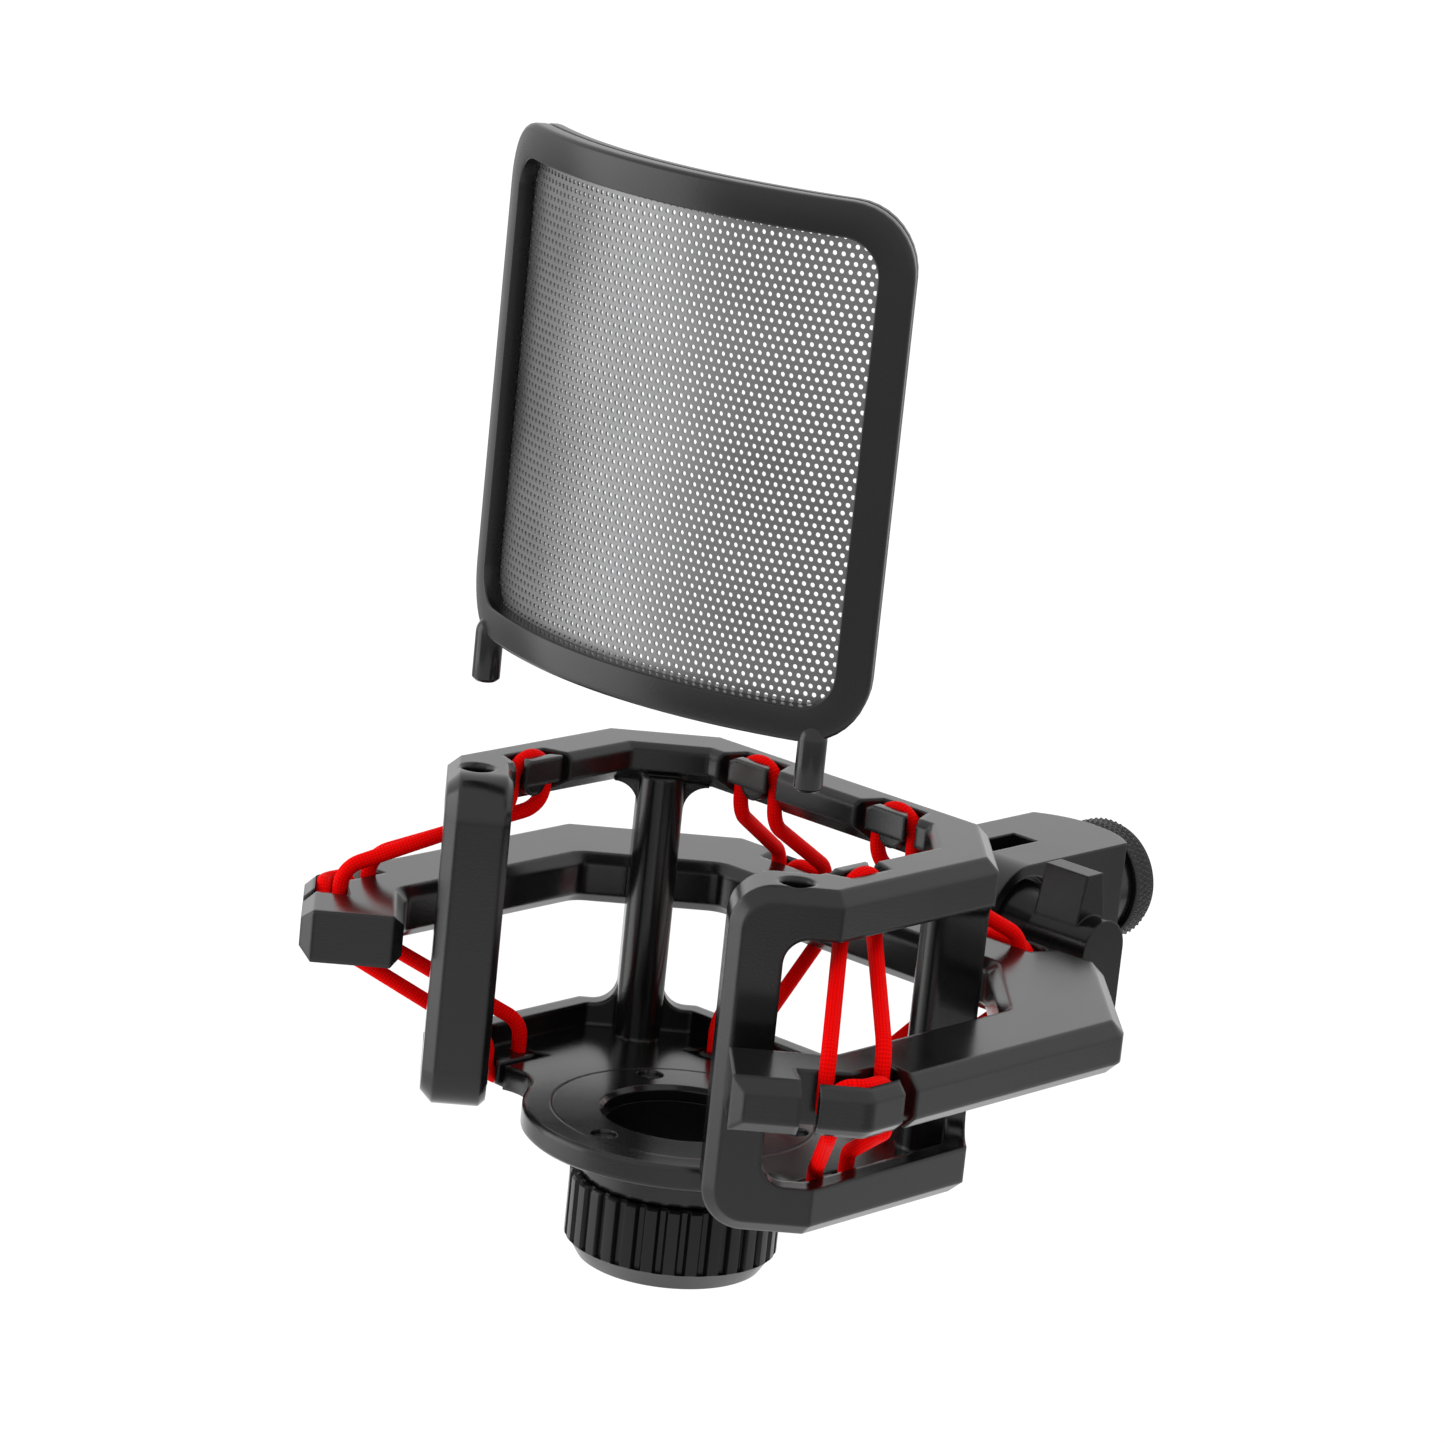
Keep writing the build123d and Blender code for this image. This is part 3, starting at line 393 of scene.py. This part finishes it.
def build_screen(work):
    """The perforated sheet: staggered round holes, each in its own hexagonal cell."""
    half = FACE_HALF - SHEET_INSET
    z0, z1 = FACE_Z0 + SHEET_INSET, FACE_Z1 - SHEET_INSET
    columns = int(2.0 * half / HOLE_PITCH)
    rows = int((z1 - z0) / HOLE_ROW)
    left = -columns * HOLE_PITCH / 2.0
    bottom = (z0 + z1) / 2.0 - (rows - 1) * HOLE_ROW / 2.0
    cache = {}

    def shared(s, z, depth):
        key = (round(s, 3), round(z, 3), depth)
        if key not in cache:
            cache[key] = work.verts.new(on_face(s, z, depth))
        return cache[key]

    front, back = BEZEL_DEPTH + SHEET_GAP, BEZEL_DEPTH + SHEET_DEPTH - SHEET_GAP
    # hexagon corners, point up: the lattice's own Voronoi cell
    third = HOLE_ROW - HOLE_PITCH ** 2 / (4.0 * HOLE_ROW)
    tip = HOLE_ROW - third / 2.0
    hexagon = [(0.0, -tip), (HOLE_PITCH / 2.0, -third / 2.0), (HOLE_PITCH / 2.0, third / 2.0),
               (0.0, tip), (-HOLE_PITCH / 2.0, third / 2.0), (-HOLE_PITCH / 2.0, -third / 2.0)]
    for row in range(rows):
        shift = HOLE_PITCH / 2.0 if row % 2 else 0.0
        for column in range(columns):
            cs = left + HOLE_PITCH * (column + 0.25) + shift
            cz = bottom + row * HOLE_ROW
            rims = []
            for depth, turn_over in ((front, False), (back, True)):
                corners = [shared(cs + x, cz + z, depth) for x, z in hexagon]
                rim = []
                for k in range(HOLE_POINTS):
                    angle = -pi / 2.0 + pi / 6.0 * k
                    s, z = cs + HOLE_R * cos(angle), cz + HOLE_R * sin(angle)
                    rim.append(work.verts.new(on_face(s, z, depth)))
                for k in range(6):
                    a, b = corners[k], corners[(k + 1) % 6]
                    h0, h1, h2 = rim[2 * k], rim[2 * k + 1], rim[(2 * k + 2) % HOLE_POINTS]
                    for face in ((a, h1, h0), (a, b, h1), (b, h2, h1)):
                        work.faces.new(tuple(reversed(face)) if turn_over else face)
                rims.append(rim)
            for k in range(HOLE_POINTS):
                j = (k + 1) % HOLE_POINTS
                work.faces.new((rims[0][k], rims[0][j], rims[1][j], rims[1][k]))


def build_pin(side):
    """One plug-in pin: chamfered foot and a domed head sunk in the bezel."""
    low, high = box_mm("filter_pin_right" if side > 0 else "filter_pin_left")
    centre = ((low.x + high.x) / 2.0, (low.y + high.y) / 2.0, 0.0)
    r = (high.x - low.x) / 2.0
    top, bottom = high.z, low.z
    profile = [
        (0.0, bottom), (r - 0.75, bottom), (r - 0.6, bottom + 0.03),
        (r - 0.05, bottom + 0.55), (r, bottom + 0.7),
    ]
    for k in range(DOME_STEPS + 1):
        angle = pi / 2.0 * k / float(DOME_STEPS)
        profile.append((r * cos(angle), top - PIN_DOME + PIN_DOME * sin(angle)))

    def builder(work):
        lathe(work, [(max(p[0], 0.001), p[1]) for p in profile], 40, centre)
        bmesh.ops.remove_doubles(work, verts=work.verts, dist=0.004)
        bmesh.ops.recalc_face_normals(work, faces=work.faces)
    return builder


settle(make_object("filter_front_bezel", build_bezel, FILTER), "filter", "filter_bezel", slot="black_filter")
settle(make_object("filter_back_frame", build_back, FILTER), "filter", "filter_back", slot="black_filter")
screen = make_object("filter_mesh_screen", build_screen, SCREEN, 50.0)
settle(screen, "filter", "filter_screen", slot="screen_mesh")
settle(make_object("filter_pin_l", build_pin(-1.0), PIN), "filter", "filter_pin_left", slot="pin_metal")
settle(make_object("filter_pin_r", build_pin(1.0), PIN), "filter", "filter_pin_right", slot="pin_metal")


# ------------------------------------------------------------------ lock nut

NUT_LOW, NUT_HIGH = box_mm("lock_nut")
NUT_R = NUT_HIGH.x
NUT_BORE_R = 13.0
NUT_FLANGE_R = 16.9
NUT_NECK_R = 15.5
NUT_TOP = -9.0
NUT_CONE_H = 3.7
NUT_RIBS = 30
NUT_GROOVE = (0.30, 0.70)
NUT_GROOVE_DEPTH = 0.95


def build_nut(work):
    """The ribbed nut: wide pads between narrow grooves, castellated at the top."""
    segments = NUT_RIBS * 8
    cone_top = NUT_LOW.z + NUT_CONE_H

    def ribbed(radius, height, angle):
        if radius < NUT_R - 0.75 or height < cone_top - 0.4 or height > NUT_TOP + 0.01:
            return radius
        phase = (angle / (2.0 * pi) * NUT_RIBS) % 1.0
        if NUT_GROOVE[0] < phase < NUT_GROOVE[1]:
            return radius - NUT_GROOVE_DEPTH
        return radius

    profile = [
        (NUT_BORE_R, NUT_LOW.z), (NUT_R - 2.7, NUT_LOW.z), (NUT_R - 2.3, NUT_LOW.z + 0.25),
        (NUT_R - 0.6, cone_top - 0.7), (NUT_R - 0.15, cone_top - 0.45),
        (NUT_R, cone_top - 0.35), (NUT_R, cone_top),
        (NUT_R, NUT_TOP - 0.5), (NUT_R - 0.35, NUT_TOP), (NUT_R - 1.2, NUT_TOP + 0.02),
        (NUT_NECK_R, NUT_TOP + 0.02), (NUT_NECK_R, NUT_HIGH.z - 0.8), (NUT_FLANGE_R, NUT_HIGH.z - 0.8),
        (NUT_FLANGE_R, NUT_HIGH.z), (NUT_BORE_R, NUT_HIGH.z),
    ]
    rings = lathe(work, profile, segments, (0, 0, 0), radius_at=ribbed)
    bridge_rings(work, [rings[-1], rings[0]])
    bmesh.ops.recalc_face_normals(work, faces=work.faces)


settle(make_object("lock_nut_ribbed", build_nut, NUT, 30.0), "nut", "lock_nut", slot="black_nut")


# ------------------------------------------------------------------ knurled stand ring

RING_LOW, RING_HIGH = box_mm("stand_ring")
RING_R = RING_HIGH.x
RING_BORE_R = 9.68
RING_CENTRE_Z = (RING_LOW.z + RING_HIGH.z) / 2.0
KNURL_TEETH = 60
KNURL_LEVELS = 13
KNURL_SLANT = 2.2
KNURL_DEPTH = 0.50


def build_stand_ring(work):
    """The knurled ring behind the swivel: slanted teeth between two plain chamfers."""
    segments = KNURL_TEETH * 8
    y0, y1 = RING_LOW.y, RING_HIGH.y
    profile = [(RING_BORE_R, y0), (RING_R - 0.55, y0), (RING_R - 0.3, y0 + 0.2)]
    for k in range(KNURL_LEVELS):
        profile.append((RING_R, y0 + 0.45 + (y1 - y0 - 0.9) * k / (KNURL_LEVELS - 1)))
    profile += [(RING_R - 0.3, y1 - 0.2), (RING_R - 0.55, y1), (RING_BORE_R, y1)]

    def knurl(radius, height, angle):
        if radius < RING_R - 0.01:
            return radius
        t = (height - y0) / (y1 - y0)
        phase = angle / (2.0 * pi) * KNURL_TEETH
        first = abs(((phase + KNURL_SLANT * t) % 1.0) - 0.5) * 2.0
        second = abs(((phase - KNURL_SLANT * t) % 1.0) - 0.5) * 2.0
        return radius - KNURL_DEPTH * max(0.0, 1.0 - 1.6 * min(first, second))

    rings = lathe(work, profile, segments, (0, 0, RING_CENTRE_Z), axis="Y", radius_at=knurl)
    bridge_rings(work, [rings[-1], rings[0]])
    bmesh.ops.recalc_face_normals(work, faces=work.faces)


knurled = make_object("stand_ring_knurled", build_stand_ring, SWIVEL, 25.0)
settle(knurled, "ring", "stand_ring", slot="black_swivel")


# ------------------------------------------------------------------ elastic bands

TOP_Z = 55.6
MID_Z = 26.7
CORD_R = 1.3
TAB_SIDE_Y = -5.4
TAB_REAR_X = 15.6
TAB_LANE = 3.5
CRADLE_STRAND = 3.9
CRADLE_WALL = 34.0
CRADLE_REAR = 25.3
RING_H = 8.0
FRAME_SIDE = 64.2
FRAME_FRONT = 93.8
FRAME_REAR = 56.4
FRAME_H = 9.0
FRAME_STRAND = 5.45
OUT_TAB_REAR_X = 22.2
OUT_NECK_H = 4.6
INNER_LANE = 5.97
OUTER_LANE = 3.2
BOTTOM_Z = -2.2
LOWER_RING_H = 8.3
BEND_SHIFT = 1.0
UPPER_TURNS = {"front": 1.6, "rear": 2.3}
LOWER_TURNS = {"front": (0.6, -1.1), "rear": (-0.3, -1.1)}
UPPER_ENTRIES = {"front": 3.2, "rear": 1.5}
LOWER_ENTRY = 0.3
CREST = 0.45
TOUCH = 0.06
LOOP_RADII = (3.0, 3.5, 3.3)
CORD_POINTS = 20


def outer_point(kind, side, depth, along):
    """A plan point on an outer tab: depth from the frame's outer wall and distance along it."""
    if kind == "rear":
        return (side * (OUT_TAB_REAR_X + along), FRAME_REAR - depth)
    x = FRAME_SIDE - depth
    y = x - (FRAME_FRONT - depth * ROOT2)
    if along >= 0.0:
        return (side * x, y + along)
    return (side * (x + along / ROOT2), y + along / ROOT2)


def band_route(kind, side, upper):
    """Corner points of a band with the radius of each bend."""
    flip = 1.0 if upper else -1.0
    crest = MID_Z + flip * (TOP_Z - CREST - MID_Z)
    if upper:
        turns = [TOP_Z - RING_H - UPPER_TURNS[kind]] * 2
        entry = MID_Z + FRAME_H / 2.0 + UPPER_ENTRIES[kind]
        ring_turn, entry_turn = (5.0, 5.0) if kind == "front" else (6.0, 5.0)
    else:
        turns = [BOTTOM_Z + LOWER_RING_H - t for t in LOWER_TURNS[kind]]
        entry = MID_Z - FRAME_H / 2.0 - LOWER_ENTRY
        ring_turn, entry_turn = 4.0, 2.6
    lane = INNER_LANE if upper else OUTER_LANE
    loop = MID_Z - flip * (OUT_NECK_H / 2.0 + CORD_R + TOUCH)
    if kind == "front":
        x = side * (CRADLE_WALL + TAB_LANE)
        near = [(x, TAB_SIDE_Y - CRADLE_STRAND), (x, TAB_SIDE_Y + CRADLE_STRAND)]
    else:
        y = CRADLE_REAR + TAB_LANE
        near = [(side * (TAB_REAR_X - CRADLE_STRAND), y), (side * (TAB_REAR_X + CRADLE_STRAND), y)]
    shift = BEND_SHIFT if kind == "front" else 0.0
    far = [outer_point(kind, side, lane, a) for a in (shift - FRAME_STRAND, 0.0, shift + FRAME_STRAND)]
    corners = [
        (near[0], crest, CRADLE_STRAND - 0.02),
        (near[0], turns[0], ring_turn),
        (far[0], entry, entry_turn),
        (far[0], loop, LOOP_RADII[0]),
        (far[1], loop, LOOP_RADII[1]),
        (far[2], loop, LOOP_RADII[2]),
        (far[2], entry, entry_turn),
        (near[1], turns[1], ring_turn),
        (near[1], crest, CRADLE_STRAND - 0.02),
    ]
    if kind == "rear":
        corners.pop(4)
    return [(Vector((p[0], p[1], z)), r) for p, z, r in corners]


def smooth_route(corners, spacing=0.7):
    """Evenly spaced points on the closed route, straight runs joined by tangent arcs."""
    count = len(corners)
    points = []
    for i, (here, radius) in enumerate(corners):
        back = (corners[i - 1][0] - here).normalized()
        ahead = (corners[(i + 1) % count][0] - here).normalized()
        half = back.angle(ahead) / 2.0
        reach = radius / tan(half)
        centre = here + (back + ahead).normalized() * (radius / sin(half))
        start, end = here + back * reach - centre, here + ahead * reach - centre
        turn = pi - 2.0 * half
        axis = start.cross(end).normalized()
        steps = max(4, int(radius * turn / spacing))
        for k in range(steps + 1):
            points.append(centre + Matrix.Rotation(turn * k / steps, 3, axis) @ start)
    dense = []
    for i, point in enumerate(points):
        nxt = points[(i + 1) % len(points)]
        pieces = max(1, int((nxt - point).length / spacing))
        for k in range(pieces):
            dense.append(point.lerp(nxt, k / pieces))
    return dense


def build_band(kind, side, upper):
    """A closed round tube with coordinates along and around it for the braid."""
    def builder(work):
        path = smooth_route(band_route(kind, side, upper))
        count = len(path)
        around = CORD_POINTS
        normal = None
        frames = []
        for i in range(count):
            tangent = (path[(i + 1) % count] - path[i - 1]).normalized()
            if normal is None:
                normal = tangent.orthogonal().normalized()
            normal = (normal - tangent * normal.dot(tangent)).normalized()
            frames.append((tangent, normal.copy()))
        # close the twist that parallel transport leaves
        tangent0, normal0 = frames[0]
        last = (normal - tangent0 * normal.dot(tangent0)).normalized()
        twist = last.angle(normal0)
        if last.cross(normal0).dot(tangent0) < 0.0:
            twist = -twist
        rings = []
        length = 0.0
        travelled = []
        for i in range(count):
            tangent, n = frames[i]
            n = Matrix.Rotation(twist * i / count, 3, tangent) @ n
            b = tangent.cross(n)
            ring = []
            for j in range(around):
                angle = 2.0 * pi * j / around
                ring.append(work.verts.new(path[i] + (n * cos(angle) + b * sin(angle)) * CORD_R))
            rings.append(ring)
            travelled.append(length)
            length += (path[(i + 1) % count] - path[i]).length
        travelled.append(length)
        layer = work.loops.layers.uv.new("braid")
        for i in range(count):
            a, b = rings[i], rings[(i + 1) % count]
            for j in range(around):
                k = (j + 1) % around
                face = work.faces.new((a[j], a[k], b[k], b[j]))
                us = (travelled[i], travelled[i], travelled[i + 1], travelled[i + 1])
                vs = (j, j + 1, j + 1, j)
                for loop, u, v in zip(face.loops, us, vs):
                    loop[layer].uv = (u / BRAID_PITCH, v / around)
        bmesh.ops.recalc_face_normals(work, faces=work.faces)
    return builder


for kind in ("front", "rear"):
    for side, word in ((-1.0, "left"), (1.0, "right")):
        for upper, level in ((True, "upper"), (False, "lower")):
            node = f"band_{level}_{kind}_{word}"
            band = make_object(f"cord_{level}_{kind}_{word}", build_band(kind, side, upper), CORD, 0.0)
            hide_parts(node)
            route = band_route(kind, side, upper)
            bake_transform(band)


# ------------------------------------------------------------------ finishes on the CAD nodes

CAD_FINISH = {
    "cradle_frame": BODY, "outer_frame": BODY, "seat_ring": SEAT,
    "seat_screw_1": SCREW, "seat_screw_2": SCREW, "seat_screw_3": SCREW,
    "swivel_block": SWIVEL, "pivot_bolt": BOLT, "ring_clip": BOLT, "clamp_lever": LEVER,
    "friction_washer_left": WASHER, "friction_washer_right": WASHER,
}
for node, material in CAD_FINISH.items():
    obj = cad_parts[node]
    for slot in obj.material_slots:
        slot.material = material


# ------------------------------------------------------------------ floor, light and camera

FLOOR_HALF = 0.72
FLOOR_Z = -0.24
SURROUND = 1.1
SURROUND_LOW = 0.5
HORIZON_FADE = (-0.26, -0.02)


def build_stage():
    """A white floor well below, a white surround and a softbox."""
    mesh = bpy.data.meshes.new("studio_floor")
    work = bmesh.new()
    signs = ((-1, -1), (1, -1), (1, 1), (-1, 1))
    corners = [work.verts.new((x * FLOOR_HALF, y * FLOOR_HALF, FLOOR_Z)) for x, y in signs]
    work.faces.new(corners)
    work.to_mesh(mesh)
    work.free()
    floor = bpy.data.objects.new("studio_floor", mesh)
    bpy.context.scene.collection.objects.link(floor)
    material, nodes, links, shader = new_material("pale_floor")
    where = coordinates(nodes)
    tone = noise(nodes, links, where, 3.0, 2.0)
    white = mix_colour(nodes, links, tone, (0.93, 0.93, 0.93), (0.95, 0.95, 0.95))
    links.new(white, shader.inputs["Base Color"])
    shader.inputs["Roughness"].default_value = 0.8
    shader.inputs["Specular IOR Level"].default_value = 0.0
    mesh.materials.append(material)
    build_world()
    softbox("front_left_softbox", -48.0, 0.80, 0.06, (0.60, 0.85), 2.0)


def build_world():
    """A white surround whose reflection darkens below the horizon."""
    world = bpy.data.worlds.new("studio_white")
    bpy.context.scene.world = world
    world.use_nodes = True
    nodes, links = world.node_tree.nodes, world.node_tree.links
    background = nodes["Background"]
    background.inputs["Color"].default_value = (1.0, 1.0, 1.0, 1.0)
    split = nodes.new("ShaderNodeSeparateXYZ")
    links.new(coordinates(nodes, "Generated"), split.inputs["Vector"])
    shade = remap(nodes, links, split.outputs["Z"], SURROUND_LOW, SURROUND, *HORIZON_FADE)
    path = nodes.new("ShaderNodeLightPath")
    mix = nodes.new("ShaderNodeMix")
    mix.data_type = "FLOAT"
    links.new(path.outputs["Is Camera Ray"], mix.inputs[0])
    links.new(shade, mix.inputs[2])
    mix.inputs[3].default_value = SURROUND
    links.new(mix.outputs[0], background.inputs["Strength"])


def softbox(name, azimuth, distance, height, size, radiance):
    """A vertical rectangular light that faces the object; azimuth 0 is the -Y side."""
    data = bpy.data.lights.new(name, "AREA")
    data.shape = "RECTANGLE"
    data.size, data.size_y = size
    data.energy = radiance * pi * size[0] * size[1]
    light = bpy.data.objects.new(name, data)
    bpy.context.scene.collection.objects.link(light)
    turn = radians(azimuth)
    light.location = (distance * sin(turn), -distance * cos(turn), height)
    toward = Vector((-light.location.x, -light.location.y, 0.0))
    light.rotation_mode = "QUATERNION"
    light.rotation_quaternion = toward.to_track_quat("-Z", "Y")
    light.visible_camera = False
    return light


AZIMUTH, ELEVATION, ROLL = radians(41.114), radians(14.923), radians(-5.914)
CAMERA_DISTANCE = 891.4
CAMERA_ACROSS = 1.26
CAMERA_UP = 13.85
CAMERA_LENS = 134.75


def place_camera():
    """The camera at the photograph's angle, a long lens rolled a little."""
    back = Vector((sin(AZIMUTH) * cos(ELEVATION), -cos(AZIMUTH) * cos(ELEVATION), sin(ELEVATION)))
    level = Vector((cos(AZIMUTH), sin(AZIMUTH), 0.0))
    upright = back.cross(level)
    across = level * cos(ROLL) - upright * sin(ROLL)
    up = level * sin(ROLL) + upright * cos(ROLL)
    data = bpy.data.cameras.new("photo_camera")
    data.lens = CAMERA_LENS
    data.sensor_width = 36.0
    camera = bpy.data.objects.new("photo_camera", data)
    bpy.context.scene.collection.objects.link(camera)
    place = Vector((0.0, 0.0, TOP_Z)) + back * CAMERA_DISTANCE + across * CAMERA_ACROSS + up * CAMERA_UP
    turn = Matrix((across, up, back)).transposed().to_4x4()
    camera.matrix_world = Matrix.Translation(place * MM) @ turn
    data.clip_start = 0.05
    data.clip_end = 60.0
    bpy.context.scene.camera = camera


build_stage()
place_camera()
bpy.context.scene.view_settings.view_transform = "Standard"
